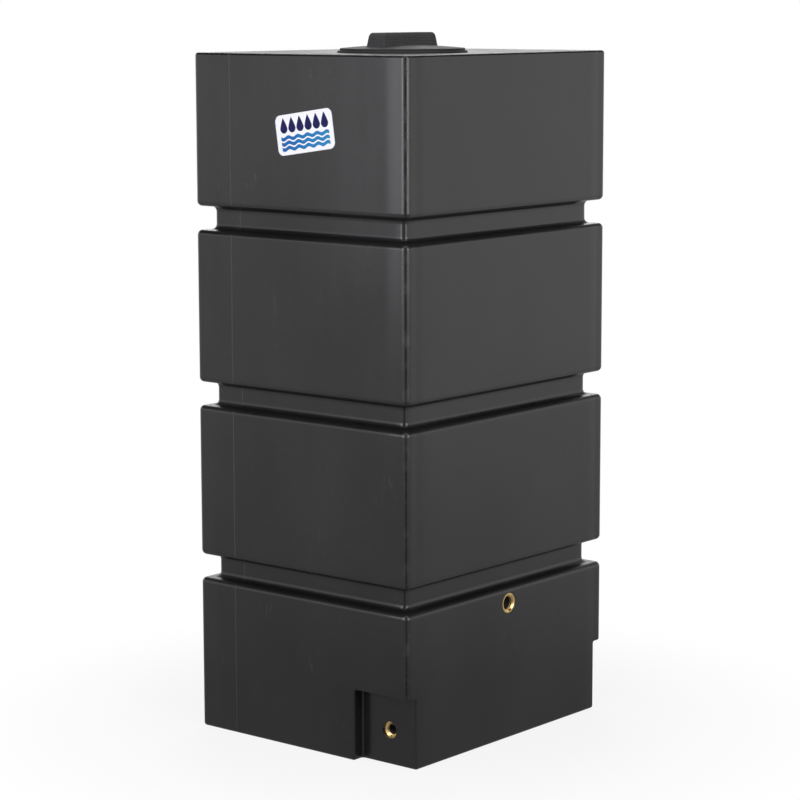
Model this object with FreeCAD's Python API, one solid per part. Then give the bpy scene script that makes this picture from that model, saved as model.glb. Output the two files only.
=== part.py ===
"""Rainwater tank: a free-standing tower moulded in one hollow piece, with a screw lid.

Millimetres. +Z is up and the origin is the centre of the base. The front face looks along -Y.
The tank is four stacked blocks parted by three all-round grooves, which stiffen the flat walls.
Each front lower corner has a pocket that keeps a low fitting inside the footprint.
The lid screws into a neck in a round plateau, on a flat seal.
"""
import FreeCAD
import Part
import os

Vector = FreeCAD.Vector
UP = Vector(0, 0, 1)
TOLERANCE = 0.01

# Tank, outside
tank_width = 700.0
tank_depth = 600.0
tank_height = 1500.0
wall = 5.0
corner_radius = 14.0
base_edge_radius = 6.0
top_edge_radius = 6.0

# Stiffening grooves
groove_count = 3
groove_depth = 30.0
groove_height = 52.0
base_block_extra = 4.0
groove_lip_radius = 11.0
groove_root_radius = 13.0
groove_corner_radius = 12.0

# Corner pockets
pocket_depth = 29.0
pocket_width = 148.0
pocket_height = 156.0
pocket_root_radius = 4.0
pocket_lip_radius = 5.0

# Dished deck and the round plateau that carries the neck
deck_rim = 22.0
deck_slope_run = 55.0
deck_drop = 6.0
deck_corner_radius = 40.0
plateau_top_diameter = 398.0
plateau_slope_run = 9.0
plateau_rise = 3.5
plateau_edge_radius = 3.0

# Neck
neck_bore_diameter = 246.0
neck_depth = 44.0
neck_wall = 5.0
neck_mouth_chamfer = 1.5

# Threaded brass inserts: pipe thread G1 for the tap, G3/4 for the low outlet
tap_drop = 35.0
tap_thread_minor = 30.29
tap_face_diameter = 44.5
tap_recess = 1.0
outlet_z = 75.0
outlet_thread_minor = 24.12
outlet_face_diameter = 37.5
outlet_recess = 5.5
insert_length = 28.0
insert_face_length = 5.0
insert_waist_length = 5.0
insert_waist_cut = 2.5
insert_flange_length = 6.0
insert_flange_rise = 1.5
insert_chamfer = 3.0
port_chamfer = 0.8
boss_wall = 6.0

# Lid
lid_rim_overlap = 20.0
lid_rim_height = 4.0
lid_step_inset = 5.5
lid_step_height = 5.3
lid_dome_rise = 7.0
lid_edge_chamfer = 0.8
lid_wall = 3.5
lid_seat_gap = 0.5
skirt_gap = 6.0
skirt_depth = 36.0
skirt_wall = 4.0
rib_count = 8
rib_thickness = 3.0
rib_depth = 9.0

# Grip bar across the lid
grip_length = 187.0
grip_width = 54.0
grip_height = 34.0
grip_draft = 5.5
grip_end_radius = 12.0
grip_edge_radius = 3.0

# Flat seal in a groove under the lid rim
seal_width = 9.0
seal_thickness = 2.6
seal_clearance = 0.3
seal_inset = 8.0

# Adhesive label on the left side
label_length = 160.0
label_height = 85.0
label_thickness = 0.3
label_corner_radius = 14.0
label_y = -24.0
label_drop = 162.0
label_tilt = 8.3

# Worked out from the sizes above: even blocks, but for a base block that is a little taller
block_height = (tank_height - groove_count * groove_height) / (groove_count + 1)
groove_first_z = block_height + base_block_extra
groove_pitch = block_height + groove_height
tap_z = groove_first_z - tap_drop
label_z = tank_height - label_drop
deck_z = tank_height - deck_drop
seat_z = deck_z + plateau_rise
lid_z = seat_z + lid_seat_gap
lid_step_z = lid_z + lid_rim_height
lid_top_z = lid_step_z + lid_step_height
lid_rim_radius = neck_bore_diameter / 2 + lid_rim_overlap
lid_step_radius = lid_rim_radius - lid_step_inset
skirt_radius = neck_bore_diameter / 2 - skirt_gap
skirt_low_z = lid_z - skirt_depth
seal_radius = lid_rim_radius - seal_inset


def shrunk(radius, inset):
    """Radius of an outer edge after the faces beside it move inwards."""
    return max(radius - inset, radius / 3)


def box_between(low, high):
    """Box from its lowest to its highest corner."""
    size = high - low
    return Part.makeBox(size.x, size.y, size.z, low)


def disc(radius, z_low, z_high):
    """Upright cylinder on the tank's axis."""
    return Part.makeCylinder(radius, z_high - z_low, Vector(0, 0, z_low))


def middle_of(edge):
    """Point half-way along an edge."""
    return edge.valueAt((edge.FirstParameter + edge.LastParameter) / 2)


def level_edges(shape, z):
    """Edges that lie in the horizontal plane at z."""
    return [edge for edge in shape.Edges
            if abs(edge.BoundBox.ZMin - z) < TOLERANCE and abs(edge.BoundBox.ZMax - z) < TOLERANCE]


def rounded_outline(half_x, half_y, radius, z):
    """Closed wire of a rectangle with round corners, at height z."""
    plane = Part.makePlane(2 * half_x, 2 * half_y, Vector(-half_x, -half_y, z))
    block = plane.extrude(UP)
    uprights = [edge for edge in block.Edges if edge.BoundBox.ZLength > TOLERANCE]
    block = block.makeFillet(radius, uprights)
    return Part.Wire(Part.__sortEdges__(level_edges(block, z)))


def rounded_block(half_x, half_y, z_low, z_high, radius):
    """Upright block with round vertical corners."""
    return Part.Face(rounded_outline(half_x, half_y, radius, z_low)).extrude(UP * (z_high - z_low))


def groove_levels():
    """Lowest and highest z of each groove, from the base up."""
    lows = [groove_first_z + index * groove_pitch for index in range(groove_count)]
    return [(low, low + groove_height) for low in lows]


def block_levels():
    """Lowest and highest z of each stacked block, from the base up."""
    lows = [0.0] + [high for low, high in groove_levels()]
    highs = [low for low, high in groove_levels()] + [tank_height]
    return list(zip(lows, highs))


def pocket_tool(side, inset):
    """Solid that cuts the corner pocket on one side, moved inwards by the inset."""
    inner_x = tank_width / 2 - pocket_depth - inset
    back_y = pocket_width - tank_depth / 2 + inset
    top_z = pocket_height + inset
    tool = box_between(Vector(inner_x, -tank_depth, -tank_height), Vector(tank_width, back_y, top_z))
    corner = Part.Vertex(Vector(inner_x, back_y, top_z))
    roots = [edge for edge in tool.Edges if edge.distToShape(corner)[0] < TOLERANCE]
    tool = tool.makeFillet(pocket_root_radius + inset, roots)
    if side < 0:
        tool = tool.mirror(Vector(0, 0, 0), Vector(1, 0, 0))
    return tool


def cut_pocket(block, side, inset):
    """Cut one corner pocket and round its mouth."""
    tool = pocket_tool(side, inset)
    pocketed = block.cut(tool)
    mouth = []
    for edge in pocketed.Edges:
        point = Part.Vertex(middle_of(edge))
        on_tool = point.distToShape(tool.Shells[0])[0] < TOLERANCE
        on_block = point.distToShape(block.Shells[0])[0] < TOLERANCE
        if on_tool and on_block and edge.BoundBox.ZMax > inset + TOLERANCE:
            mouth.append(edge)
    return pocketed.makeFillet(shrunk(pocket_lip_radius, inset), mouth)


def stacked_blocks(inset):
    """The blocks, joined by a waist in each groove, before any level edge is rounded."""
    half_x = tank_width / 2 - inset
    half_y = tank_depth / 2 - inset
    blocks = []
    for z_low, z_high in block_levels():
        radius = shrunk(corner_radius, inset)
        blocks.append(rounded_block(half_x, half_y, z_low + inset, z_high - inset, radius))
    for side in (-1, 1):
        blocks[0] = cut_pocket(blocks[0], side, inset)
    waists = []
    for z_low, z_high in groove_levels():
        waists.append(rounded_block(half_x - groove_depth, half_y - groove_depth,
                                    z_low - groove_height, z_high + groove_height,
                                    shrunk(groove_corner_radius, inset)))
    return blocks[0].fuse(blocks[1:] + waists).removeSplitter()


def ledge_edges(form, z, inset, at_lip):
    """Edges of the ledge at z: those at the blocks' faces, or those at the waist."""
    chosen = []
    for edge in level_edges(form, z):
        point = middle_of(edge)
        depth_in = inset + min(tank_width / 2 - inset - abs(point.x), tank_depth / 2 - inset - abs(point.y))
        if (depth_in < inset + groove_depth / 2) == at_lip:
            chosen.append(edge)
    return chosen


def round_grooves(form, inset):
    """Round the lips and the roots of every groove."""
    for z_low, z_high in groove_levels():
        for z in (z_low - inset, z_high + inset):
            lips = ledge_edges(form, z, inset, True)
            form = form.makeFillet(shrunk(groove_lip_radius, inset), lips)
            roots = ledge_edges(form, z, inset, False)
            form = form.makeFillet(groove_root_radius + inset, roots)
    return form


def dish_deck(form, inset):
    """Sink the deck inside a raised rim, then raise the round plateau on it."""
    half_x = tank_width / 2 - deck_rim
    half_y = tank_depth / 2 - deck_rim
    low = rounded_outline(half_x - deck_slope_run, half_y - deck_slope_run,
                          deck_corner_radius, deck_z - inset)
    high = rounded_outline(half_x, half_y, deck_corner_radius, tank_height - inset)
    form = form.cut(Part.makeLoft([low, high], True, True))
    plateau_radius = plateau_top_diameter / 2 - inset
    plateau = Part.makeCone(plateau_radius + plateau_slope_run, plateau_radius,
                            plateau_rise, Vector(0, 0, deck_z - inset))
    plateau = plateau.makeFillet(plateau_edge_radius, level_edges(plateau, seat_z - inset))
    return form.fuse(plateau).removeSplitter()


def tank_form(inset):
    """Outer form of the tank, or its cavity when moved inwards by the wall."""
    form = round_grooves(stacked_blocks(inset), inset)
    form = form.makeFillet(shrunk(base_edge_radius, inset), level_edges(form, inset))
    form = form.makeFillet(shrunk(top_edge_radius, inset), level_edges(form, tank_height - inset))
    return dish_deck(form, inset)


def turned(points):
    """Solid of revolution about Z from (radius, height) points."""
    corners = [Vector(radius, 0, z) for radius, z in points]
    profile = Part.makePolygon(corners + corners[:1])
    return Part.Face(profile).revolve(Vector(0, 0, 0), UP, 360)


def insert_outside(face_diameter):
    """Outside of a moulded-in insert: face, waist, holding flange and tail, with its mouth at z 0."""
    face = face_diameter / 2
    waist = face - insert_waist_cut
    flange = face + insert_flange_rise
    flange_start = insert_face_length + insert_waist_length
    flange_end = flange_start + insert_flange_length
    return turned([(0, 0), (face, 0), (face, -insert_face_length), (waist, -insert_face_length),
                   (waist, -flange_start), (flange, -flange_start), (flange, -flange_end),
                   (waist, -flange_end), (waist, -insert_length), (0, -insert_length)])


def insert_bore(thread_minor):
    """Bore of an insert, open at both ends and chamfered at its mouth."""
    radius = thread_minor / 2
    return turned([(0, wall), (radius + insert_chamfer, wall), (radius + insert_chamfer, 0),
                   (radius, -insert_chamfer), (radius, -insert_length - wall),
                   (0, -insert_length - wall)])


def placed(shape, fitting, depth):
    """Turn a shape that looks up so that it looks out of the wall, at a depth behind its face."""
    moved = shape.copy()
    origin = fitting["port"] - fitting["outwards"] * depth
    moved.Placement = FreeCAD.Placement(origin, FreeCAD.Rotation(UP, fitting["outwards"]))
    return moved


tap_fitting = {
    "port": Vector(0, -tank_depth / 2, tap_z),
    "outwards": Vector(0, -1, 0),
    "face": tap_face_diameter,
    "minor": tap_thread_minor,
    "recess": tap_recess,
}
outlet_fitting = {
    "port": Vector(pocket_depth - tank_width / 2, pocket_width / 2 - tank_depth / 2, outlet_z),
    "outwards": Vector(-1, 0, 0),
    "face": outlet_face_diameter,
    "minor": outlet_thread_minor,
    "recess": outlet_recess,
}
fittings = (tap_fitting, outlet_fitting)


def make_insert(fitting):
    """Turned brass insert with a bore at the thread's minor diameter."""
    insert = insert_outside(fitting["face"]).cut(insert_bore(fitting["minor"]))
    return placed(insert, fitting, fitting["recess"])


def insert_boss(fitting):
    """Lump of wall that the tank forms round an insert, on the inside."""
    radius = fitting["face"] / 2 + insert_flange_rise + boss_wall
    tail_z = -insert_length - fitting["recess"]
    boss = disc(radius, tail_z, 0)
    boss = boss.makeChamfer(boss_wall / 3, level_edges(boss, tail_z))
    return placed(boss, fitting, 0.0)


def port_tool(fitting):
    """Space that the tank leaves for an insert: a chamfered port, then the insert's own outside."""
    radius = fitting["face"] / 2
    port = turned([(0, wall), (radius + port_chamfer + wall, wall), (radius, -port_chamfer),
                   (radius, -fitting["recess"]), (0, -fitting["recess"])])
    seat = insert_outside(fitting["face"])
    return placed(port, fitting, 0.0).fuse(placed(seat, fitting, fitting["recess"]))


def make_tank_body():
    """Hollow moulding: the outer form less the cavity, with the neck and the insert bosses."""
    outer = tank_form(0.0)
    neck_radius = neck_bore_diameter / 2
    neck = disc(neck_radius + neck_wall, seat_z - neck_depth, seat_z - wall / 2)
    bosses = [insert_boss(fitting).common(outer) for fitting in fittings]
    body = outer.cut(tank_form(wall)).fuse([neck] + bosses)
    body = body.cut(disc(neck_radius, seat_z - neck_depth - wall, seat_z + wall))
    for fitting in fittings:
        body = body.cut(port_tool(fitting))
    body = body.removeSplitter()
    mouth = [edge for edge in level_edges(body, seat_z)
             if edge.BoundBox.XLength < neck_bore_diameter + neck_wall]
    return body.makeChamfer(neck_mouth_chamfer, mouth)


def dome_z(radius, inset):
    """Height of the lid's dome at a radius, or of its underside when moved inwards."""
    sphere_radius = (lid_step_radius ** 2 + lid_dome_rise ** 2) / (2 * lid_dome_rise)
    centre_z = lid_top_z + lid_dome_rise - sphere_radius
    return centre_z + ((sphere_radius - inset) ** 2 - radius ** 2) ** 0.5


def turned_under_dome(outline, inset):
    """Solid of revolution closed by the dome, from the (radius, height) points below its edge."""
    edge_radius = outline[0][0]
    crown, halfway, edge = [Vector(radius, 0, dome_z(radius, inset))
                            for radius in (0, edge_radius / 2, edge_radius)]
    arc = Part.Arc(crown, halfway, edge).toShape()
    sides = Part.makePolygon([edge] + [Vector(radius, 0, z) for radius, z in outline[1:]] + [crown])
    profile = Part.Face(Part.Wire([arc] + sides.Edges))
    return profile.revolve(Vector(0, 0, 0), UP, 360)


def lid_outside():
    """Outside of the lid without its grip: dome, step, rim and skirt."""
    chamfer = lid_edge_chamfer
    return turned_under_dome([
        (lid_step_radius - chamfer, lid_top_z), (lid_step_radius, lid_top_z - chamfer),
        (lid_step_radius, lid_step_z), (lid_rim_radius - chamfer, lid_step_z),
        (lid_rim_radius, lid_step_z - chamfer), (lid_rim_radius, lid_z),
        (skirt_radius, lid_z), (skirt_radius, skirt_low_z), (0, skirt_low_z)], 0.0)


def lid_hollow():
    """Space under the lid, inside its skirt."""
    radius = skirt_radius - skirt_wall
    return turned_under_dome([(radius, lid_top_z), (radius, skirt_low_z), (0, skirt_low_z)], lid_wall)


def grip_form(inset):
    """Grip bar with drafted sides and round shoulders, or its hollow when moved inwards."""
    half_x = grip_length / 2 - inset
    half_y = grip_width / 2 - inset
    low_z = lid_top_z - lid_wall
    high_z = lid_top_z + grip_height - inset
    side_view = Part.makePolygon([Vector(-half_x, -half_y, low_z), Vector(half_x, -half_y, low_z),
                                  Vector(half_x - grip_draft, -half_y, high_z),
                                  Vector(grip_draft - half_x, -half_y, high_z),
                                  Vector(-half_x, -half_y, low_z)])
    end_view = Part.makePolygon([Vector(-half_x, -half_y, low_z), Vector(-half_x, half_y, low_z),
                                 Vector(-half_x, half_y - grip_draft, high_z),
                                 Vector(-half_x, grip_draft - half_y, high_z),
                                 Vector(-half_x, -half_y, low_z)])
    bar = Part.Face(side_view).extrude(Vector(0, 2 * half_y, 0))
    shoulders = [edge for edge in level_edges(bar, high_z) if edge.BoundBox.YLength > half_y]
    bar = bar.makeFillet(shrunk(grip_end_radius, inset), shoulders)
    bar = bar.common(Part.Face(end_view).extrude(Vector(2 * half_x, 0, 0)))
    creases = [edge for edge in bar.Edges
               if edge.BoundBox.XLength > TOLERANCE and edge.BoundBox.ZMax > low_z + TOLERANCE]
    return bar.makeFillet(shrunk(grip_edge_radius, inset), creases)


def lid_ribs():
    """Radial ribs that stiffen the lid from below."""
    ribs = []
    for index in range(rib_count):
        rib = box_between(Vector(0, -rib_thickness / 2, lid_top_z - lid_wall - rib_depth),
                          Vector(skirt_radius, rib_thickness / 2, lid_top_z + lid_dome_rise))
        rib.rotate(Vector(0, 0, 0), UP, 360.0 * (index + 0.5) / rib_count)
        ribs.append(rib)
    return ribs


def make_lid():
    """Screw lid: stepped rim, domed top, hollow grip, skirt, ribs and the seal's groove."""
    lid = lid_outside().fuse(grip_form(0.0)).removeSplitter()
    grip_mouth = box_between(
        Vector(lid_wall - grip_length / 2, lid_wall - grip_width / 2, skirt_low_z),
        Vector(grip_length / 2 - lid_wall, grip_width / 2 - lid_wall, lid_top_z - lid_wall))
    lid = lid.cut(lid_hollow().cut(lid_ribs()).fuse([grip_form(lid_wall), grip_mouth]))

    groove_top = seat_z + seal_thickness
    groove = disc(seal_radius + seal_clearance, lid_z, groove_top)
    groove = groove.cut(disc(seal_radius - seal_width - seal_clearance, lid_z, groove_top))
    return lid.cut(groove).removeSplitter()


def make_lid_seal():
    """Flat rubber ring between the lid's rim and the plateau."""
    ring = disc(seal_radius, seat_z, seat_z + seal_thickness)
    return ring.cut(disc(seal_radius - seal_width, seat_z, seat_z + seal_thickness))


def make_label():
    """Label stuck on the left side, its front end a little higher than its back end."""
    label = rounded_block(label_length / 2, label_height / 2, 0, label_thickness, label_corner_radius)
    label.rotate(Vector(0, 0, 0), UP, label_tilt)
    facing_left = FreeCAD.Rotation(Vector(0, -1, 0), UP, Vector(-1, 0, 0), "XYZ")
    place = FreeCAD.Placement(Vector(-tank_width / 2, label_y, label_z), facing_left)
    label.Placement = place.multiply(label.Placement)
    return label


nodes = {
    "tank_body": make_tank_body(),
    "tap_insert": make_insert(tap_fitting),
    "outlet_insert": make_insert(outlet_fitting),
    "lid": make_lid(),
    "lid_seal": make_lid_seal(),
    "label": make_label(),
}

os.makedirs("parts", exist_ok=True)
for name, shape in nodes.items():
    box = shape.BoundBox
    print(name, "solids", len(shape.Solids), "valid", shape.isValid(),
          "volume %.0f" % shape.Volume, "z %.2f to %.2f" % (box.ZMin, box.ZMax))
    shape.exportStep("parts/" + name + ".step")
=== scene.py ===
import math

import bmesh
import bpy
from bpy.props import FloatProperty, FloatVectorProperty, IntProperty, PointerProperty
from mathutils import Matrix, Vector


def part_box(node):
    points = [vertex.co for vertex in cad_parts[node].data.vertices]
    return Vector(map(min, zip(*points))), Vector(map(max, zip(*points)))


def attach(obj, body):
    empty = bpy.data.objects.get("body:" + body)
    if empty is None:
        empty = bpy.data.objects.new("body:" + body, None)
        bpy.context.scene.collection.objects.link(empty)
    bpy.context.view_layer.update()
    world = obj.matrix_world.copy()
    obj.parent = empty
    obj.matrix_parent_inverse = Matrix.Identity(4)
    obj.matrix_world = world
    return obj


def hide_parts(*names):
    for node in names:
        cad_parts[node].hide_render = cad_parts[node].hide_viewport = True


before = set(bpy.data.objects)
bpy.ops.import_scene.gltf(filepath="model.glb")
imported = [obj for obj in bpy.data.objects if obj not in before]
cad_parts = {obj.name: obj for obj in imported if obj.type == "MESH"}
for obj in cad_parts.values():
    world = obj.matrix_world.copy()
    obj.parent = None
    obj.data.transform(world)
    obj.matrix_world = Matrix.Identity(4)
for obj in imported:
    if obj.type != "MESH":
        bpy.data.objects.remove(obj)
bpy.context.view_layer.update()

bl_info = {
    "name": "Rainwater tank dressing",
    "version": (1, 0, 0),
    "blender": (4, 5, 0),
    "location": "View3D > Sidebar > Tank",
    "description": "Finishes, threads, label and studio stage for a moulded rainwater tank",
    "category": "Object",
}

MM = 0.001
PI = math.pi
TURN = 2 * PI


def length(name, description, default):
    """Size in metres for a panel field."""
    return FloatProperty(name=name, description=description, default=default,
                         precision=5, subtype="DISTANCE", unit="LENGTH")


def share(name, description, default):
    """Number from 0 to 1 for a panel field."""
    return FloatProperty(name=name, description=description, default=default,
                         min=0.0, max=1.0, subtype="FACTOR")


def colour(name, description, default):
    """Linear colour for a panel field."""
    return FloatVectorProperty(name=name, description=description, default=default,
                               min=0.0, max=1.0, subtype="COLOR")


class TankPlastic(bpy.types.PropertyGroup):
    """Moulded polyethylene of the tank."""
    base: colour("Colour", "Dark grey of the moulded plastic", (0.0125, 0.0125, 0.013))
    scuffed: colour("Scuffed colour", "Paler grey of rubbed corners", (0.050, 0.051, 0.053))
    # Painted shade along the grooves' ledges, which lie under the blocks above.
    ledge_shade: colour("Ledge colour", "Dark of the grime along the grooves' ledges", (0.0015, 0.0015, 0.0016))
    roughness: share("Roughness", "Gloss of the moulded skin", 0.22)
    ledge_roughness: share("Ledge roughness", "Gloss of the grooves' ledges", 0.42)
    inside_roughness: share("Inside roughness", "Gloss of the unpolished inside", 0.62)
    deck_roughness: share("Deck roughness", "Gloss of the handled deck and plateau round the lid", 0.55)
    specular: share("Reflection", "Strength of the skin's reflection", 0.50)
    seam_y: length("Parting line", "Where the mould's halves meet, along Y", 0.192)
    seam_width: length("Parting line width", "Width of the line the halves leave", 4.0 * MM)
    seam_rise: length("Parting line rise", "How far the line stands proud", 0.7 * MM)
    peel_size: length("Skin grain", "Size of the skin's grain", 5.0 * MM)
    peel_rise: length("Skin grain rise", "Depth of the skin's grain", 0.05 * MM)
    streak_rise: length("Streak rise", "Depth of the upright streaks", 0.04 * MM)
    scuff_depth: length("Scuff depth", "Depth of the scuffs", 0.06 * MM)
    wave_size: length("Wave size", "Size of the slow waves in the flat walls", 220 * MM)
    wave_rise: length("Wave rise", "Depth of the slow waves", 1.6 * MM)
    bow_width: length("Bow width", "How far the walls turn in beside a corner", 60 * MM)
    bow_rise: length("Bow rise", "How far the walls drop beside a corner", 2.2 * MM)


class LidPlastic(bpy.types.PropertyGroup):
    """Injection-moulded lid and its thread."""
    base: colour("Colour", "Near-black of the lid", (0.042, 0.042, 0.0425))
    dust: colour("Dust colour", "Fine dust that settles on level faces", (0.060, 0.059, 0.057))
    roughness: share("Roughness", "Gloss of the lid", 0.68)
    specular: share("Reflection", "Strength of the lid's reflection", 0.30)
    grain_rise: length("Grain rise", "Depth of the lid's fine grain", 0.03 * MM)
    line_drop: length("Grip line drop", "From the grip's crown down to the foot of its lines", 32.0 * MM)
    rib_pitch: length("Grip line pitch", "Distance between the fine lines on the grip", 3.4 * MM)
    rib_rise: length("Grip line rise", "Depth of the fine lines on the grip", 0.6 * MM)
    thread_pitch: length("Thread pitch", "Climb of the lid's thread in one turn", 10 * MM)
    thread_turns: FloatProperty(name="Thread turns", description="Turns of the lid's thread",
                                default=1.6, min=0.5, max=3.0)
    thread_rise: length("Thread rise", "How far each thread stands from its wall", 2.7 * MM)
    thread_foot: length("Thread foot", "Width of the thread at its wall", 4.6 * MM)
    thread_crest: length("Thread crest", "Width of the thread at its crest", 1.8 * MM)
    thread_start: length("Thread start", "Height of the lid's thread above the skirt's foot", 5.0 * MM)
    thread_root: length("Thread root", "How far the ridges reach into their walls", 0.3 * MM)
    thread_run_out: share("Thread run-out", "Share of a turn in which a ridge fades at its ends", 0.10)
    neck_radius: length("Neck radius", "Radius of the neck's bore", 123 * MM)
    skirt_radius: length("Skirt radius", "Radius of the lid's skirt", 117 * MM)


class BrassInserts(bpy.types.PropertyGroup):
    """Turned brass inserts with pipe threads."""
    base: colour("Colour", "Clean turned brass", (0.88, 0.62, 0.27))
    tarnish: colour("Tarnish colour", "Brown film on the older faces", (0.22, 0.115, 0.035))
    # Painted shade deep in the bores, where the lamps' light doesn't reach; the next two depths set where it
    # starts and where it is full.
    painted_bore_shade: colour("Blackened colour", "Film deep in the bore", (0.006, 0.005, 0.004))
    shade_start_depth: length("Bright depth", "Depth to which the bore is clean", 6.0 * MM)
    shade_full_depth: length("Black depth", "Depth from which the bore is black", 11.0 * MM)
    roughness: share("Roughness", "Gloss of the turned faces", 0.20)
    chamfer: length("Mouth chamfer", "Width of the chamfer at the mouth of the thread", 3.6 * MM)
    chamfer_depth: length("Mouth chamfer depth", "Depth of the chamfer at the mouth", 2.6 * MM)
    face_length: length("Face length", "Length of the full round behind the face", 5.0 * MM)
    flange_start: length("Flange start", "Depth at which the moulded-in flange starts", 10.0 * MM)
    flange_end: length("Flange end", "Depth at which the flange ends", 16.0 * MM)
    flange_rise: length("Flange rise", "How far the flange stands past the face's rim", 1.5 * MM)
    waist_cut: length("Waist cut", "How far the waist lies inside the face's rim", 2.5 * MM)
    face_edge: length("Face edge", "Small chamfer round the face", 0.4 * MM)
    relief: length("Thread relief", "Clearance past the thread's root at its tail", 0.2 * MM)
    tap_pitch: length("Tap thread pitch", "Pitch of the G1 thread", 2.309 * MM)
    tap_minor: length("Tap thread minor radius", "Crest radius of the G1 thread", 15.145 * MM)
    tap_major: length("Tap thread major radius", "Root radius of the G1 thread", 16.625 * MM)
    outlet_pitch: length("Outlet thread pitch", "Pitch of the G3/4 thread", 1.814 * MM)
    outlet_minor: length("Outlet thread minor radius", "Crest radius of the G3/4 thread", 12.06 * MM)
    outlet_major: length("Outlet thread major radius", "Root radius of the G3/4 thread", 13.22 * MM)
    steps: IntProperty(name="Steps in a turn", description="Faces round the thread",
                       default=96, min=24, max=256)


class LabelPrint(bpy.types.PropertyGroup):
    """Adhesive label with a plain water sign."""
    film: colour("Film", "White film", (0.93, 0.93, 0.93))
    drops: colour("Drops", "Navy of the drops", (0.006, 0.004, 0.075))
    waves_low: colour("Waves, back end", "Blue of the waves at the label's back end", (0.004, 0.115, 0.40))
    waves_high: colour("Waves, front end", "Blue of the waves at its front end", (0.018, 0.235, 0.50))
    length: length("Length", "Length of the film", 160 * MM)
    height: length("Height", "Height of the film", 85 * MM)
    corner: length("Corner radius", "Radius of the film's corners", 14 * MM)
    thickness: length("Thickness", "Thickness of the film and its ink", 0.3 * MM)
    ink: length("Ink", "Thickness of the ink", 0.04 * MM)
    tilt: FloatProperty(name="Tilt", description="Turn of the label on the wall",
                        default=math.radians(8.3), subtype="ANGLE", unit="ROTATION")
    print_length: length("Print length", "Length of the printed rows", 136 * MM)
    drop_count: IntProperty(name="Drops", description="Drops in the upper row", default=6, min=1, max=12)
    drop_height: length("Drop height", "Height of one drop", 33 * MM)
    drop_width: length("Drop width", "Width of one drop", 20.5 * MM)
    drop_gap: length("Drop gap", "From the label's middle up to the drops", 3.5 * MM)
    wave_count: IntProperty(name="Waves", description="Waves in the lower row", default=3, min=1, max=6)
    wave_width: length("Wave width", "Width of one printed wave", 7.6 * MM)
    wave_pitch: length("Wave pitch", "Distance from wave to wave", 11.0 * MM)
    wave_rise: length("Wave rise", "Height of a wave's crest", 2.2 * MM)
    wave_gap: length("Wave gap", "From the label's middle down to the first wave", 7.0 * MM)
    wave_crests: IntProperty(name="Crests", description="Crests along one wave", default=5, min=1, max=12)


class StudioStage(bpy.types.PropertyGroup):
    """Floor, lamps and camera."""
    floor: colour("Floor", "Pale floor", (0.62, 0.62, 0.62))
    fill: share("Fill", "Even light from all round", 0.14)
    mirrored: share("Mirrored floor", "Brightness in mirrors of the floor one metre from the axis", 0.42)
    mirrored_near: share("Mirrored near floor", "Brightness in mirrors of the floor beside the object", 0.38)
    dim_left: share("Fall to the left", "How fast the mirrored floor dims towards the left side", 0.142)
    dim_right: share("Fall to the right", "How fast the mirrored floor dims towards the right side", 0.235)
    camera_place: FloatVectorProperty(name="Camera", description="Where the camera stands",
                                      default=(-4.4464, -3.6856, 1.6106), subtype="TRANSLATION",
                                      unit="LENGTH")
    camera_turn: FloatVectorProperty(name="Camera turn", description="Pitch, roll and heading",
                                     default=tuple(map(math.radians, (81.292, -0.129, -50.274))),
                                     subtype="EULER", unit="ROTATION")
    lens: FloatProperty(name="Lens", description="Focal length in millimetres on a 36 mm sensor",
                        default=117.43)


class Finish:
    """One material, with short calls for its nodes."""

    def __init__(self, name):
        self.material = bpy.data.materials.new(name)
        self.material.use_nodes = True
        self.tree = self.material.node_tree
        self.shader = self.tree.nodes["Principled BSDF"]
        self.place = self.node("TexCoord", {}, "Object")

    def node(self, kind, inputs, output=0, **settings):
        """Add a node, set or link its inputs, and return one of its outputs."""
        made = self.tree.nodes.new("ShaderNode" + kind)
        for name, value in settings.items():
            setattr(made, name, value)
        for name, value in inputs.items():
            self.feed(made.inputs[name], value)
        return made.outputs[output]

    def feed(self, socket, value):
        """Link a socket to a node, or give it a value."""
        if isinstance(value, bpy.types.NodeSocket):
            self.tree.links.new(value, socket)
        else:
            socket.default_value = value

    def math(self, operation, first, second=0.0, third=0.0):
        """Work out one number from up to three."""
        return self.node("Math", {0: first, 1: second, 2: third}, operation=operation)

    def axis(self, vector, name):
        """One coordinate of a vector."""
        return self.node("SeparateXYZ", {0: vector}, name)

    def noise(self, size, detail=3.0, stretch=(1.0, 1.0, 1.0), centre=(0.0, 0.0, 0.0)):
        """Noise about 0.5 whose spots have a size in metres, longer along an axis stretched above 1."""
        scale = [1.0 / (size * factor) for factor in stretch]
        place = self.node("Mapping", {"Vector": self.place, "Scale": scale, "Location": centre})
        return self.node("TexNoise", {"Vector": place, "Scale": 1.0, "Detail": detail})

    def between(self, value, low, high, start=0.0, end=1.0):
        """Go smoothly from start to end while a value goes from low to high."""
        return self.node("MapRange", {"Value": value, "From Min": low, "From Max": high,
                                      "To Min": start, "To Max": end},
                         interpolation_type="SMOOTHSTEP")

    def tint(self, amount, first, second):
        """Mix two colours."""
        pair = [side if isinstance(side, bpy.types.NodeSocket) else (*side, 1.0) for side in (first, second)]
        return self.node("Mix", {0: amount, 6: pair[0], 7: pair[1]}, 2, data_type="RGBA")

    def bump(self, height, rise, under=None):
        """Raise the surface by a height from 0 to 1 times a rise in metres."""
        inputs = {"Height": height, "Distance": rise, "Strength": 1.0}
        if under is not None:
            inputs["Normal"] = under
        return self.node("Bump", inputs)

    def finish(self, **inputs):
        """Feed the shader's sockets, named with underscores, and return the material."""
        for name, value in inputs.items():
            if isinstance(value, tuple):
                value = (*value, 1.0)
            self.feed(self.shader.inputs[name.replace("_", " ")], value)
        return self.material


def dress(node, material):
    """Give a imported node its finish."""
    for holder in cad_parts[node].material_slots:
        holder.material = material


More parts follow.
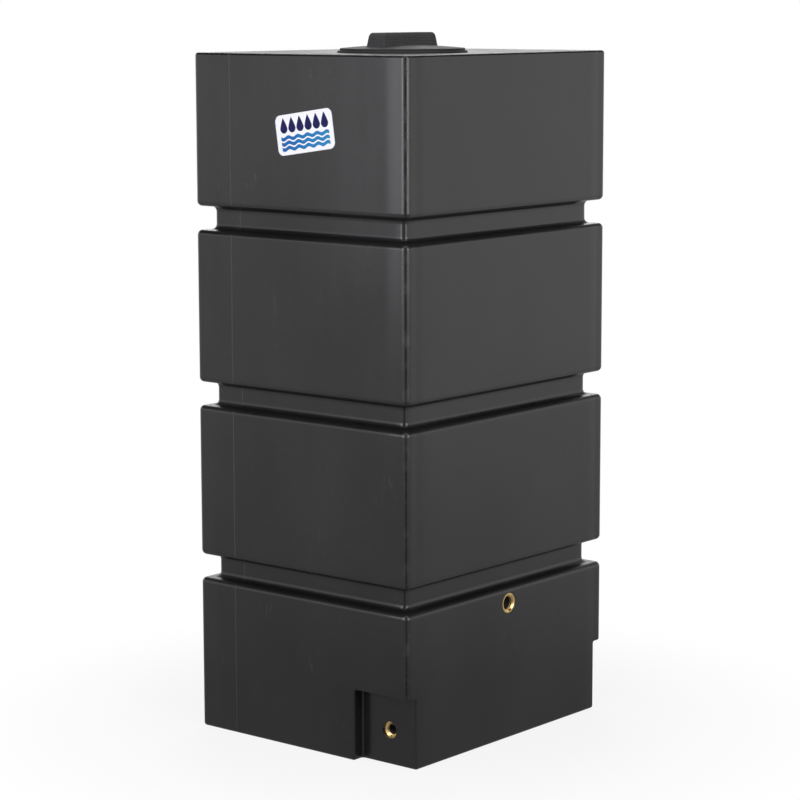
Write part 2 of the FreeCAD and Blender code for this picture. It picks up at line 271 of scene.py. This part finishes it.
def worn_places(skin, past_corner):
    """How worn the skin is, from rubbed corners and scuffs, and the scuffs alone."""
    scratches = skin.between(skin.noise(6 * MM, 4.0, stretch=(1.0, 1.0, 5.0)), 0.60, 0.72)
    patches = skin.between(skin.noise(160 * MM, 2.0, centre=(3.0, 1.0, 2.0)), 0.56, 0.70)
    scuffs = skin.math("MULTIPLY", scratches, patches)
    on_corner = skin.between(past_corner, 0.0, 10 * MM)
    rubbed = skin.math("MULTIPLY", on_corner, skin.between(skin.noise(50 * MM), 0.45, 0.70))
    worn = skin.math("MAXIMUM", skin.math("MULTIPLY", rubbed, 0.35), skin.math("MULTIPLY", scuffs, 0.22))
    return worn, scuffs


def inside_places(skin, normal, facing, z, low_z, high_z):
    """1 on the walls, floor and ceiling inside the tank, which no mould polished."""
    outwards = skin.node("VectorMath", {0: skin.place, 1: normal}, operation="MULTIPLY")
    outwards = skin.node("VectorMath", {0: outwards, 1: (1.0, 1.0, 0.0)}, "Value", operation="DOT_PRODUCT")
    upright = skin.math("LESS_THAN", skin.math("ABSOLUTE", facing), 0.9)
    walls = skin.math("MULTIPLY", skin.math("LESS_THAN", outwards, -20 * MM), upright)
    floor = skin.math("MULTIPLY", skin.math("LESS_THAN", z, low_z + 12 * MM),
                      skin.math("GREATER_THAN", facing, 0.5))
    ceiling = skin.math("MULTIPLY", skin.math("GREATER_THAN", z, high_z - 50 * MM),
                        skin.math("LESS_THAN", facing, -0.5))
    return skin.math("MAXIMUM", walls, skin.math("MAXIMUM", floor, ceiling))


def tank_finish(look):
    """Dark semi-gloss polyethylene as it leaves a rotating mould, with painted shade on the grooves' ledges.
    """
    skin = Finish("moulded_polyethylene")
    low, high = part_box("tank_body")
    x, y, z = [skin.axis(skin.place, name) for name in "XYZ"]
    away_x = skin.math("ABSOLUTE", x)
    away_y = skin.math("ABSOLUTE", y)
    normal = skin.node("NewGeometry", {}, "Normal")
    facing = skin.axis(normal, "Z")

    mottle = skin.noise(300 * MM, 4.0, stretch=(1.0, 1.0, 1.4))
    streaks = skin.noise(30 * MM, 3.0, stretch=(1.0, 1.0, 16.0))
    powder = skin.noise(1.8 * MM, 2.0)
    grain = skin.noise(look.peel_size, 2.0)
    waves = skin.noise(look.wave_size, 1.0, stretch=(1.0, 1.0, 2.2))

    corner_reach = 15 * MM
    past_corner = skin.math("MINIMUM", skin.math("SUBTRACT", away_x, high.x - corner_reach),
                            skin.math("SUBTRACT", away_y, high.y - corner_reach))
    worn, scuffs = worn_places(skin, past_corner)
    inside = inside_places(skin, normal, facing, z, low.z, high.z)
    on_wall = skin.between(skin.math("ABSOLUTE", facing), 0.35, 0.70, 1.0, 0.0)
    on_side = skin.math("GREATER_THAN", away_x, high.x - 32 * MM)
    on_deck = skin.math("MULTIPLY", skin.between(facing, 0.85, 0.95),
                        skin.math("GREATER_THAN", z, high.z - 40 * MM))
    on_ledge = skin.math("MULTIPLY", skin.between(facing, 0.30, 0.80),
                         skin.math("LESS_THAN", z, high.z - 100 * MM))
    from_seam = skin.math("ABSOLUTE", skin.math("SUBTRACT", y, look.seam_y))
    seam = skin.between(from_seam, look.seam_width / 4, look.seam_width / 2, 1.0, 0.0)
    beside_seam = skin.between(from_seam, look.seam_width / 2, look.seam_width * 1.6, 1.0, 0.0)

    pale = tuple(1.22 * part for part in look.base)
    deep = tuple(0.80 * part for part in look.base)
    tone = skin.tint(skin.between(mottle, 0.30, 0.70), deep, pale)
    tone = skin.tint(skin.between(streaks, 0.35, 0.75, 0.0, 0.20), tone, pale)
    tone = skin.tint(skin.between(powder, 0.55, 0.75, 0.0, 0.22), tone, look.scuffed)
    tone = skin.tint(worn, tone, look.scuffed)
    tone = skin.tint(skin.math("MULTIPLY", beside_seam, 0.35), tone, deep)
    tone = skin.tint(skin.math("MULTIPLY", seam, 0.40), tone, look.scuffed)
    # Painted shade: the grooves' ledges go near-black.
    tone = skin.tint(skin.math("MULTIPLY", on_ledge, 0.85), tone, look.ledge_shade)

    gloss = skin.between(mottle, 0.25, 0.75, look.roughness - 0.03, look.roughness + 0.04)
    gloss = skin.math("ADD", gloss, skin.between(streaks, 0.35, 0.75, -0.010, 0.018))
    gloss = skin.math("ADD", gloss, skin.math("MULTIPLY", worn, 0.5))
    for zone, roughness in ((inside, look.inside_roughness), (on_deck, look.deck_roughness),
                            (on_ledge, look.ledge_roughness)):
        gloss = skin.math("ADD", gloss, skin.math("MULTIPLY", zone, roughness - look.roughness))

    beside_y = skin.between(away_y, high.y - look.bow_width, high.y, 1.0, 0.0)
    beside_x = skin.between(away_x, high.x - look.bow_width, high.x, 1.0, 0.0)
    bow = skin.node("Mix", {0: on_side, 2: beside_x, 3: beside_y})
    under = skin.bump(bow, look.bow_rise)
    under = skin.bump(waves, look.wave_rise, under)
    under = skin.bump(streaks, look.streak_rise, under)
    under = skin.bump(grain, look.peel_rise, under)
    under = skin.bump(seam, look.seam_rise, under)
    under = skin.bump(scuffs, -look.scuff_depth, under)
    levelled = skin.between(facing, 0.985, 0.992, 0.0, 0.6)
    flat = skin.node("Mix", {0: levelled, 4: normal, 5: (0.0, 0.0, 1.0)}, 1, data_type="VECTOR")
    under = skin.node("Mix", {0: on_wall, 4: flat, 5: under}, 1, data_type="VECTOR")
    return skin.finish(Base_Color=tone, Roughness=gloss, Normal=under, Specular_IOR_Level=look.specular)


class TANK_OT_dress_body(bpy.types.Operator):
    """Finish the moulded tank"""
    bl_idname = "tank.dress_body"
    bl_label = "Dress the tank"

    def execute(self, context):
        dress("tank_body", tank_finish(context.scene.tank_plastic))
        return {"FINISHED"}


def lid_finish(look):
    """Satin near-black plastic with fine lines round the grip, a little dust, and painted shade on the rim's
    side.
    """
    skin = Finish("lid_polypropylene")
    z = skin.axis(skin.place, "Z")
    facing = skin.axis(skin.node("NewGeometry", {}, "Normal"), "Z")
    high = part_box("lid")[1]
    grip_foot = high.z - look.line_drop
    on_grip = skin.between(z, grip_foot, grip_foot + 3 * MM)
    below_crown = skin.between(z, high.z - 7 * MM, high.z - 5 * MM, 1.0, 0.0)
    on_rim = skin.math("MULTIPLY", skin.between(z, grip_foot - 2 * MM, grip_foot, 1.0, 0.0),
                       skin.between(facing, 0.3, 0.7, 1.0, 0.0))
    lines = skin.math("SINE", skin.math("MULTIPLY", z, TURN / look.rib_pitch))
    ribbed = skin.math("MULTIPLY", skin.math("MULTIPLY", on_grip, below_crown),
                       skin.between(lines, -1.0, 1.0))

    mottle = skin.noise(90 * MM, 4.0)
    grain = skin.noise(1.3 * MM, 2.0)
    level = skin.between(facing, 0.82, 0.99)
    settled = skin.math("MULTIPLY", level, skin.between(skin.noise(35 * MM, 5.0), 0.40, 0.75))
    scratches = skin.between(skin.noise(4 * MM, 4.0, stretch=(6.0, 1.0, 1.0)), 0.62, 0.74)

    pale = tuple(1.25 * part for part in look.base)
    shaded = tuple(0.16 * part for part in look.base)
    tone = skin.tint(skin.between(mottle, 0.30, 0.70), look.base, pale)
    tone = skin.tint(skin.math("MULTIPLY", settled, 0.15), tone, look.dust)
    tone = skin.tint(skin.math("MULTIPLY", scratches, 0.14), tone, look.dust)
    # Painted shade on the side of the rim under the grip.
    tone = skin.tint(skin.math("MULTIPLY", on_rim, 0.7), tone, shaded)
    gloss = skin.between(mottle, 0.25, 0.75, look.roughness - 0.04, look.roughness + 0.05)
    gloss = skin.math("ADD", gloss, skin.math("MULTIPLY", settled, 0.12))
    under = skin.bump(grain, look.grain_rise)
    under = skin.bump(ribbed, look.rib_rise, under)
    return skin.finish(Base_Color=tone, Roughness=gloss, Normal=under, Specular_IOR_Level=look.specular)


class TANK_OT_dress_lid(bpy.types.Operator):
    """Finish the screw lid"""
    bl_idname = "tank.dress_lid"
    bl_label = "Dress the lid"

    def execute(self, context):
        dress("lid", lid_finish(context.scene.lid_plastic))
        return {"FINISHED"}


class TANK_OT_dress_seal(bpy.types.Operator):
    """Finish the rubber seal"""
    bl_idname = "tank.dress_seal"
    bl_label = "Dress the seal"

    def execute(self, context):
        rubber = Finish("seal_rubber_matt")
        bloom = rubber.noise(0.012, 4.0)
        tone = rubber.tint(rubber.between(bloom, 0.45, 0.75), (0.012, 0.012, 0.012), (0.045, 0.044, 0.042))
        gloss = rubber.between(bloom, 0.3, 0.7, 0.62, 0.80)
        under = rubber.bump(rubber.noise(0.7 * MM, 2.0), 0.04 * MM)
        dress("lid_seal", rubber.finish(Base_Color=tone, Roughness=gloss, Normal=under))
        return {"FINISHED"}


def mesh_object(name, mesh, material):
    """Turn a bmesh into a named object of the scene."""
    data = bpy.data.meshes.new(name)
    mesh.to_mesh(data)
    mesh.free()
    data.materials.append(material)
    made = bpy.data.objects.new(name, data)
    bpy.context.scene.collection.objects.link(made)
    return made


def new_piece(name, mesh, material, body, place=None):
    """Turn a bmesh into a named piece that rides on a body."""
    if place is not None:
        mesh.transform(place)
    bmesh.ops.recalc_face_normals(mesh, faces=mesh.faces)
    piece = mesh_object(name, mesh, material)
    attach(piece, body)
    return piece


def smooth_below(piece, angle):
    """Shade a piece smoothly except at edges sharper than an angle."""
    piece.data.shade_smooth()
    piece.data.set_sharp_from_angle(angle=angle)


def chain(mesh, points):
    """Open chain of edges in the XZ plane through (radius, height) points."""
    corners = [mesh.verts.new((radius, 0.0, z)) for radius, z in points]
    return corners + [mesh.edges.new(pair) for pair in zip(corners, corners[1:])]


def pipe_thread(mesh, minor, major, pitch, depth, steps):
    """Wall of an inside pipe thread from above the mouth at height 0 to below the tail."""
    points = []
    for turn in range(math.ceil(depth / pitch) + 3):
        top = (1.5 - turn) * pitch
        points += [(minor, top), (minor, top - pitch / 6), (major, top - pitch / 2),
                   (major, top - pitch * 2 / 3)]
    bmesh.ops.spin(mesh, geom=chain(mesh, points), cent=(0, 0, 0), axis=(0, 0, 1),
                   dvec=(0, 0, pitch / steps), angle=TURN, steps=steps, use_duplicate=False)
    bmesh.ops.remove_doubles(mesh, verts=mesh.verts, dist=0.001 * MM)


def trim_thread(mesh, minor, major, look, depth):
    """Chamfer the thread's mouth, clear its last turn, and end it in two flat rings."""
    relief = major + look.relief
    for vert in mesh.verts:
        radius = math.hypot(vert.co.x, vert.co.y)
        z = vert.co.z
        if z > 0.0:
            wanted, z = minor + look.chamfer, 0.0
        elif z < -depth:
            wanted, z = relief, -depth
        elif z < 2 * MM - depth:
            wanted = relief
        else:
            wanted = max(radius, minor + look.chamfer * (1.0 + z / look.chamfer_depth))
        vert.co = (vert.co.x * wanted / radius, vert.co.y * wanted / radius, z)
    bmesh.ops.remove_doubles(mesh, verts=mesh.verts, dist=0.01 * MM)


def insert_mesh(look, minor, major, pitch, face, depth):
    """Turned insert with its mouth at height 0: threaded bore and plain outside."""
    mesh = bmesh.new()
    pipe_thread(mesh, minor, major, pitch, depth, look.steps)
    trim_thread(mesh, minor, major, look, depth)
    edge = look.face_edge
    waist, flange = face - look.waist_cut, face + look.flange_rise
    outside = chain(mesh, [
        (minor + look.chamfer, 0.0), (face - edge, 0.0), (face, -edge),
        (face, -look.face_length), (waist, -look.face_length),
        (waist, -look.flange_start), (flange, -look.flange_start),
        (flange, -look.flange_end), (waist, -look.flange_end),
        (waist, -depth), (major + look.relief, -depth)])
    bmesh.ops.spin(mesh, geom=outside, cent=(0, 0, 0), axis=(0, 0, 1), angle=TURN,
                   steps=look.steps, use_merge=True, use_duplicate=False)
    bmesh.ops.remove_doubles(mesh, verts=mesh.verts, dist=0.01 * MM)
    bmesh.ops.dissolve_degenerate(mesh, edges=mesh.edges, dist=0.005 * MM)
    return mesh


def brass_finish(look, name, centre, along):
    """Turned brass whose tool lines run round the insert's own axis, with painted shade deep in its bore."""
    metal = Finish(name)
    flat = [0.0 if letter == along else 1.0 for letter in "XYZ"]
    back = [-part * keep for part, keep in zip(centre, flat)]
    round_axis = metal.node("Mapping", {"Vector": metal.place, "Location": back, "Scale": flat})
    radius = metal.node("VectorMath", {0: round_axis}, "Value", operation="LENGTH")
    tool_lines = metal.math("SINE", metal.math("MULTIPLY", radius, TURN / (0.35 * MM)))
    cloud = metal.noise(0.011, 5.0)
    spots = metal.noise(0.0022, 3.0)
    dull = metal.between(cloud, 0.42, 0.68)
    spotted = metal.between(spots, 0.60, 0.72)
    film = metal.math("MAXIMUM", metal.math("MULTIPLY", dull, 0.40), metal.math("MULTIPLY", spotted, 0.45))
    depth = metal.math("SUBTRACT", metal.axis(metal.place, along), centre["XYZ".index(along)])
    # Painted shade: beyond a depth the bore goes black, with less metal and more roughness.
    painted_bore_shade = metal.between(depth, look.shade_start_depth, look.shade_full_depth)
    tone = metal.tint(film, look.base, look.tarnish)
    tone = metal.tint(painted_bore_shade, tone, look.painted_bore_shade)
    gloss = metal.between(film, 0.0, 0.5, look.roughness - 0.04, look.roughness + 0.20)
    gloss = metal.math("ADD", gloss, metal.math("MULTIPLY", painted_bore_shade, 0.4))
    metallic = metal.math("SUBTRACT", 1.0, metal.math("MULTIPLY", painted_bore_shade, 0.8))
    under = metal.bump(metal.between(tool_lines, -1.0, 1.0), 0.008 * MM)
    under = metal.bump(spots, 0.03 * MM, under)
    return metal.finish(Base_Color=tone, Roughness=gloss, Metallic=metallic, Normal=under)


class TANK_OT_turn_inserts(bpy.types.Operator):
    """Cut the pipe threads of the two brass inserts"""
    bl_idname = "tank.turn_inserts"
    bl_label = "Thread the inserts"

    def execute(self, context):
        look = context.scene.brass_inserts
        low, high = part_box("tap_insert")
        mouth = Vector(((low.x + high.x) / 2, low.y, (low.z + high.z) / 2))
        mesh = insert_mesh(look, look.tap_minor, look.tap_major, look.tap_pitch,
                           (high.x - low.x) / 2 - look.flange_rise, high.y - low.y)
        metal = brass_finish(look, "turned_brass_tap", mouth, "Y")
        place = Matrix.Translation(mouth) @ Matrix.Rotation(PI / 2, 4, "X")
        tap = new_piece("tap_insert_threaded", mesh, metal, "tank", place)
        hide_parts("tap_insert")

        low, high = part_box("outlet_insert")
        mouth = Vector((low.x, (low.y + high.y) / 2, (low.z + high.z) / 2))
        mesh = insert_mesh(look, look.outlet_minor, look.outlet_major, look.outlet_pitch,
                           (high.y - low.y) / 2 - look.flange_rise, high.x - low.x)
        metal = brass_finish(look, "turned_brass_outlet", mouth, "X")
        place = Matrix.Translation(mouth) @ Matrix.Rotation(-PI / 2, 4, "Y")
        outlet = new_piece("outlet_insert_threaded", mesh, metal, "tank", place)
        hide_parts("outlet_insert")
        for insert in (tap, outlet):
            smooth_below(insert, math.radians(28))
        return {"FINISHED"}


def ridge_mesh(look, wall_radius, rise, start_z):
    """Thread ridge that winds up a round wall, with both its ends run out into the wall."""
    mesh = bmesh.new()
    steps = int(72 * look.thread_turns)
    crest_radius = wall_radius + rise
    foot_radius = wall_radius - math.copysign(look.thread_root, rise)
    foot, crest = look.thread_foot / 2, look.thread_crest / 2
    corners = [(foot_radius, -foot), (crest_radius, -crest), (crest_radius, crest), (foot_radius, foot)]
    verts = [mesh.verts.new((radius, 0.0, start_z + z)) for radius, z in corners]
    section = mesh.faces.new(verts)
    bmesh.ops.spin(mesh, geom=[section, *section.edges, *verts], cent=(0, 0, 0), axis=(0, 0, 1),
                   dvec=(0, 0, look.thread_pitch * look.thread_turns / steps),
                   angle=TURN * look.thread_turns, steps=steps, use_duplicate=False)
    least_height = 0.02
    for vert in mesh.verts:
        angle = math.atan2(vert.co.y, vert.co.x) / TURN % 1.0
        turn = angle + round((vert.co.z - start_z) / look.thread_pitch - angle)
        left = min(turn, look.thread_turns - turn) / look.thread_run_out
        if left < 1.0:
            radius = math.hypot(vert.co.x, vert.co.y)
            wanted = foot_radius + (radius - foot_radius) * max(left, least_height)
            vert.co.xy = vert.co.xy * (wanted / radius)
    return mesh


class TANK_OT_wind_threads(bpy.types.Operator):
    """Wind the coarse threads of the neck and of the lid's skirt"""
    bl_idname = "tank.wind_threads"
    bl_label = "Wind the lid's threads"

    def execute(self, context):
        look = context.scene.lid_plastic
        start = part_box("lid")[0].z + look.thread_start
        mesh = ridge_mesh(look, look.skirt_radius, look.thread_rise, start)
        lid_ridge = new_piece("lid_thread", mesh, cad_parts["lid"].material_slots[0].material,
                              "lid")
        mesh = ridge_mesh(look, look.neck_radius, -look.thread_rise, start + look.thread_pitch / 2)
        neck_ridge = new_piece("neck_thread", mesh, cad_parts["tank_body"].material_slots[0].material,
                               "tank")
        for ridge in (lid_ridge, neck_ridge):
            smooth_below(ridge, math.radians(35))
        return {"FINISHED"}


def raise_flat(mesh, low_z, high_z):
    """Give flat faces at height 0 a thickness from a low to a high height."""
    for vert in mesh.verts:
        vert.co.z = low_z
    top = bmesh.ops.extrude_face_region(mesh, geom=mesh.faces[:])
    for item in top["geom"]:
        if isinstance(item, bmesh.types.BMVert):
            item.co.z = high_z


def film_mesh(look):
    """Film with round corners."""
    mesh = bmesh.new()
    bmesh.ops.create_grid(mesh, x_segments=1, y_segments=1, size=0.5)
    bmesh.ops.scale(mesh, vec=(look.length, look.height, 1.0), verts=mesh.verts)
    bmesh.ops.bevel(mesh, geom=mesh.verts[:], offset=look.corner, offset_type="OFFSET", affect="VERTICES",
                    segments=14, profile=0.5, material=-1)
    raise_flat(mesh, 0.0, look.thickness - look.ink)
    return mesh


def drops_mesh(look, low_z, high_z):
    """Row of equal drops."""
    mesh = bmesh.new()
    radius = look.drop_width / 2
    pitch = (look.print_length - look.drop_width) / (look.drop_count - 1)
    for index in range(look.drop_count):
        made = bmesh.ops.create_circle(mesh, segments=40, cap_ends=True, radius=radius)["verts"]
        for vert in made:
            up = max(vert.co.y / radius, 0.0)
            vert.co.x *= (1.0 - up) ** 0.42
            vert.co.y += up ** 1.4 * (look.drop_height - look.drop_width)
        across = index * pitch - (look.print_length - look.drop_width) / 2
        bmesh.ops.translate(mesh, vec=(across, look.drop_width / 2 + look.drop_gap, 0.0), verts=made)
    raise_flat(mesh, low_z, high_z)
    return mesh


def waves_mesh(look, low_z, high_z):
    """Waves one under another."""
    mesh = bmesh.new()
    turn_rate = TURN * look.wave_crests / look.print_length
    for index in range(look.wave_count):
        made = bmesh.ops.create_grid(mesh, x_segments=60, y_segments=1, size=0.5)["verts"]
        bmesh.ops.scale(mesh, vec=(look.print_length, look.wave_width, 1.0), verts=made)
        down = look.wave_gap + index * look.wave_pitch
        for vert in made:
            vert.co.y += look.wave_rise * math.sin(vert.co.x * turn_rate) - down
    raise_flat(mesh, low_z, high_z)
    return mesh


def film_finish(look):
    """White adhesive film with faint ripples and handling marks."""
    film = Finish("label_film_white")
    cloud = film.noise(0.03, 4.0)
    tone = film.tint(film.between(cloud, 0.45, 0.75, 0.0, 0.10), look.film, (0.60, 0.61, 0.62))
    gloss = film.between(cloud, 0.3, 0.7, 0.28, 0.40)
    under = film.bump(film.noise(0.02, 2.0), 0.05 * MM)
    under = film.bump(film.noise(0.8 * MM, 2.0), 0.006 * MM, under)
    return film.finish(Base_Color=tone, Roughness=gloss, Normal=under)


def ink_finish(name, back, front, look):
    """Printed ink that goes from one colour to the other along the label."""
    ink = Finish(name)
    low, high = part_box("label")
    along = ink.between(ink.axis(ink.place, "Y"), high.y, low.y)
    tone = ink.tint(along, back, front)
    dots = ink.between(ink.noise(0.9 * MM, 2.0), 0.58, 0.72)
    tone = ink.tint(ink.math("MULTIPLY", dots, 0.06), tone, look.film)
    gloss = ink.between(ink.noise(0.01, 3.0), 0.3, 0.7, 0.42, 0.54)
    under = ink.bump(ink.noise(0.02, 2.0), 0.05 * MM)
    return ink.finish(Base_Color=tone, Roughness=gloss, Normal=under, Specular_IOR_Level=0.15)


class TANK_OT_stick_label(bpy.types.Operator):
    """Print the label and stick it on the left side"""
    bl_idname = "tank.stick_label"
    bl_label = "Stick the label"

    def execute(self, context):
        look = context.scene.label_print
        low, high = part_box("label")
        middle = Matrix.Translation((high.x, (low.y + high.y) / 2, (low.z + high.z) / 2))
        facing = Matrix(((0, 0, -1, 0), (-1, 0, 0, 0), (0, 1, 0, 0), (0, 0, 0, 1)))
        place = middle @ facing @ Matrix.Rotation(look.tilt, 4, "Z")
        film_z = look.thickness - look.ink
        ink_low, ink_high = film_z - look.ink, look.thickness
        film = new_piece("label_film", film_mesh(look), film_finish(look), "tank", place)
        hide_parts("label")
        navy = ink_finish("ink_navy", look.drops, look.drops, look)
        blue = ink_finish("ink_blue", look.waves_low, look.waves_high, look)
        new_piece("label_drops", drops_mesh(look, ink_low, ink_high), navy, "tank", place)
        new_piece("label_waves", waves_mesh(look, ink_low, ink_high), blue, "tank", place)
        return {"FINISHED"}


def shown_rays(tree):
    """1 for the rays that see the background: camera, mirror and clear ones."""
    path = tree.nodes.new("ShaderNodeLightPath")
    seen = path.outputs["Is Camera Ray"]
    for name in ("Is Glossy Ray", "Is Transmission Ray"):
        either = tree.nodes.new("ShaderNodeMath")
        either.operation = "MAXIMUM"
        tree.links.new(seen, either.inputs[0])
        tree.links.new(path.outputs[name], either.inputs[1])
        seen = either.outputs[0]
    return seen


def light_sky(look):
    """White background, with a dimmer even light for everything else."""
    world = bpy.data.worlds.new("studio")
    bpy.context.scene.world = world
    world.use_nodes = True
    tree = world.node_tree
    fill = tree.nodes["Background"]
    white = tree.nodes.new("ShaderNodeBackground")
    for light, strength in ((fill, look.fill), (white, 1.0)):
        light.inputs["Color"].default_value = (1.0, 1.0, 1.0, 1.0)
        light.inputs["Strength"].default_value = strength
    chosen = tree.nodes.new("ShaderNodeMixShader")
    tree.links.new(shown_rays(tree), chosen.inputs[0])
    tree.links.new(fill.outputs[0], chosen.inputs[1])
    tree.links.new(white.outputs[0], chosen.inputs[2])
    tree.links.new(chosen.outputs[0], tree.nodes["World Output"].inputs["Surface"])


def floor_finish(look):
    """Pale floor that shows the object's shadow near it and white beyond, and is dimmer in mirrors."""
    pale = Finish("studio_floor")
    from_axis = pale.node("VectorMath", {0: pale.place}, "Value", operation="LENGTH")
    whiter = pale.between(from_axis, 0.42, 1.1, 0.86, 1.0)
    on_camera = pale.node("LightPath", {}, "Is Camera Ray")
    side = pale.math("SUBTRACT", pale.axis(pale.place, "X"), pale.axis(pale.place, "Y"))
    to_right = pale.between(pale.math("DIVIDE", side, from_axis), -1.0, 1.0)
    rate = pale.node("Mix", {0: to_right, 2: look.dim_left, 3: look.dim_right})
    mirrored = pale.math("MULTIPLY_ADD", pale.math("LOGARITHM", from_axis, math.e), rate, look.mirrored)
    mirrored = pale.math("MINIMUM", pale.math("MAXIMUM", mirrored, look.mirrored_near), 1.0)
    shown = pale.node("Mix", {0: on_camera, 2: shown_rays(pale.tree), 3: whiter})
    strength = pale.node("Mix", {0: on_camera, 2: mirrored, 3: 1.0})
    grain = pale.noise(0.25, 3.0)
    tone = pale.tint(pale.between(grain, 0.3, 0.7, 0.0, 0.05), look.floor, (0.55, 0.55, 0.55))
    pale.finish(Base_Color=tone, Roughness=0.8, Specular_IOR_Level=0.1)
    white = pale.node("Emission", {"Color": (1.0, 1.0, 1.0, 1.0), "Strength": strength})
    both = pale.node("MixShader", {0: shown, 1: pale.shader.outputs[0], 2: white})
    pale.feed(pale.tree.nodes["Material Output"].inputs["Surface"], both)
    return pale.material


def lay_floor(look):
    """Round floor under the object."""
    mesh = bmesh.new()
    bmesh.ops.create_circle(mesh, cap_ends=True, segments=96, radius=30.0)
    mesh_object("floor", mesh, floor_finish(look))


def hang_flag(name, place, size):
    """Dark screen that shows only as a reflection."""
    mesh = bmesh.new()
    bmesh.ops.create_grid(mesh, x_segments=1, y_segments=1, size=0.5)
    mesh.transform(place @ Matrix.Diagonal((*size, 1.0, 1.0)))
    dark = Finish("flag_cloth").finish(Base_Color=(0.02, 0.02, 0.02), Roughness=1.0, Specular_IOR_Level=0.0)
    flag = mesh_object(name, mesh, dark)
    flag.visible_camera = False
    flag.visible_diffuse = False
    flag.visible_shadow = False


def hang_softbox(name, bearing, distance, z, size, power, tone, aim_z):
    """Soft lamp at a bearing round the object, aimed at its axis."""
    lamp = bpy.data.lights.new(name, "AREA")
    lamp.shape = "RECTANGLE"
    lamp.size, lamp.size_y = size
    lamp.energy = power
    lamp.color = tone
    holder = bpy.data.objects.new(name, lamp)
    angle = math.radians(bearing)
    holder.location = (distance * math.cos(angle), distance * math.sin(angle), z)
    towards = Vector((0.0, 0.0, aim_z)) - holder.location
    holder.rotation_mode = "QUATERNION"
    holder.rotation_quaternion = towards.to_track_quat("-Z", "Y")
    holder.visible_camera = False
    bpy.context.scene.collection.objects.link(holder)


# Name, bearing in degrees, distance, height, size, power, tint, and the height aimed at
LAMPS = (
    ("left_softbox", 170.0, 3.3, 1.75, (2.2, 2.2), 43.0, (0.93, 0.93, 1.0), 1.1),
    ("right_softbox", 262.0, 3.5, 1.85, (2.0, 2.2), 42.0, (1.0, 0.975, 0.955), 1.1),
    ("left_strip", 184.0, 2.5, 1.95, (0.4, 2.1), 13.0, (0.88, 0.88, 1.0), 1.3),
    ("right_strip", 248.0, 2.5, 1.95, (0.4, 2.1), 9.0, (1.0, 1.0, 1.0), 1.3),
    ("top_softbox", 225.0, 1.2, 3.6, (2.4, 2.4), 36.0, (1.0, 1.0, 1.0), 1.2),
    ("back_softbox", 40.0, 3.2, 3.1, (2.4, 3.2), 75.0, (1.0, 1.0, 1.0), 1.5),
)


def place_camera(look):
    """Stand the camera where the photograph was taken."""
    data = bpy.data.cameras.new("camera")
    data.lens = look.lens
    data.sensor_width = 36.0
    data.clip_start, data.clip_end = 0.1, 120.0
    camera = bpy.data.objects.new("camera", data)
    pitch, roll, heading = look.camera_turn
    camera.matrix_world = (Matrix.Translation(look.camera_place) @ Matrix.Rotation(heading, 4, "Z")
                           @ Matrix.Rotation(pitch, 4, "X") @ Matrix.Rotation(roll, 4, "Z"))
    bpy.context.scene.collection.objects.link(camera)
    bpy.context.scene.camera = camera


class TANK_OT_set_stage(bpy.types.Operator):
    """Lay the floor, hang the lamps and place the camera"""
    bl_idname = "tank.set_stage"
    bl_label = "Set the stage"

    def execute(self, context):
        look = context.scene.studio_stage
        light_sky(look)
        lay_floor(look)
        before_corner = (Matrix.Rotation(math.radians(220.2), 4, "Z") @ Matrix.Translation((0.76, 0.0, 0.95))
                         @ Matrix.Rotation(PI / 2, 4, "Y"))
        hang_flag("corner_flag", before_corner, (1.9, 0.14))
        hang_flag("ceiling_flag", Matrix.Translation((0.0, 0.0, 4.2)), (12.0, 12.0))
        for lamp in LAMPS:
            hang_softbox(*lamp)
        place_camera(look)
        bpy.context.scene.view_settings.view_transform = "Standard"
        return {"FINISHED"}


class TANK_PT_dressing(bpy.types.Panel):
    """Steps that dress the tank"""
    bl_label = "Rainwater tank"
    bl_space_type = "VIEW_3D"
    bl_region_type = "UI"
    bl_category = "Tank"

    def draw(self, context):
        for step in STEPS:
            self.layout.operator(step.bl_idname)
        for name in SETTINGS:
            look = getattr(context.scene, name)
            for field in look.bl_rna.properties:
                if not field.is_readonly:
                    self.layout.prop(look, field.identifier)


STEPS = (TANK_OT_dress_body, TANK_OT_dress_lid, TANK_OT_dress_seal, TANK_OT_turn_inserts,
         TANK_OT_wind_threads, TANK_OT_stick_label, TANK_OT_set_stage)
SETTINGS = {"tank_plastic": TankPlastic, "lid_plastic": LidPlastic, "brass_inserts": BrassInserts,
            "label_print": LabelPrint, "studio_stage": StudioStage}


def register():
    """Make the settings, steps and panel known."""
    for kind in (*SETTINGS.values(), *STEPS, TANK_PT_dressing):
        bpy.utils.register_class(kind)
    for name, kind in SETTINGS.items():
        setattr(bpy.types.Scene, name, PointerProperty(type=kind))


def unregister():
    """Take the settings, steps and panel away."""
    for name in SETTINGS:
        delattr(bpy.types.Scene, name)
    for kind in (TANK_PT_dressing, *reversed(STEPS), *reversed(SETTINGS.values())):
        bpy.utils.unregister_class(kind)


def main():
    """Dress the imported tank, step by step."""
    register()
    bpy.ops.tank.dress_body()
    bpy.ops.tank.dress_lid()
    bpy.ops.tank.dress_seal()
    bpy.ops.tank.turn_inserts()
    bpy.ops.tank.wind_threads()
    bpy.ops.tank.stick_label()
    bpy.ops.tank.set_stage()


if __name__ == "__main__":
    main()
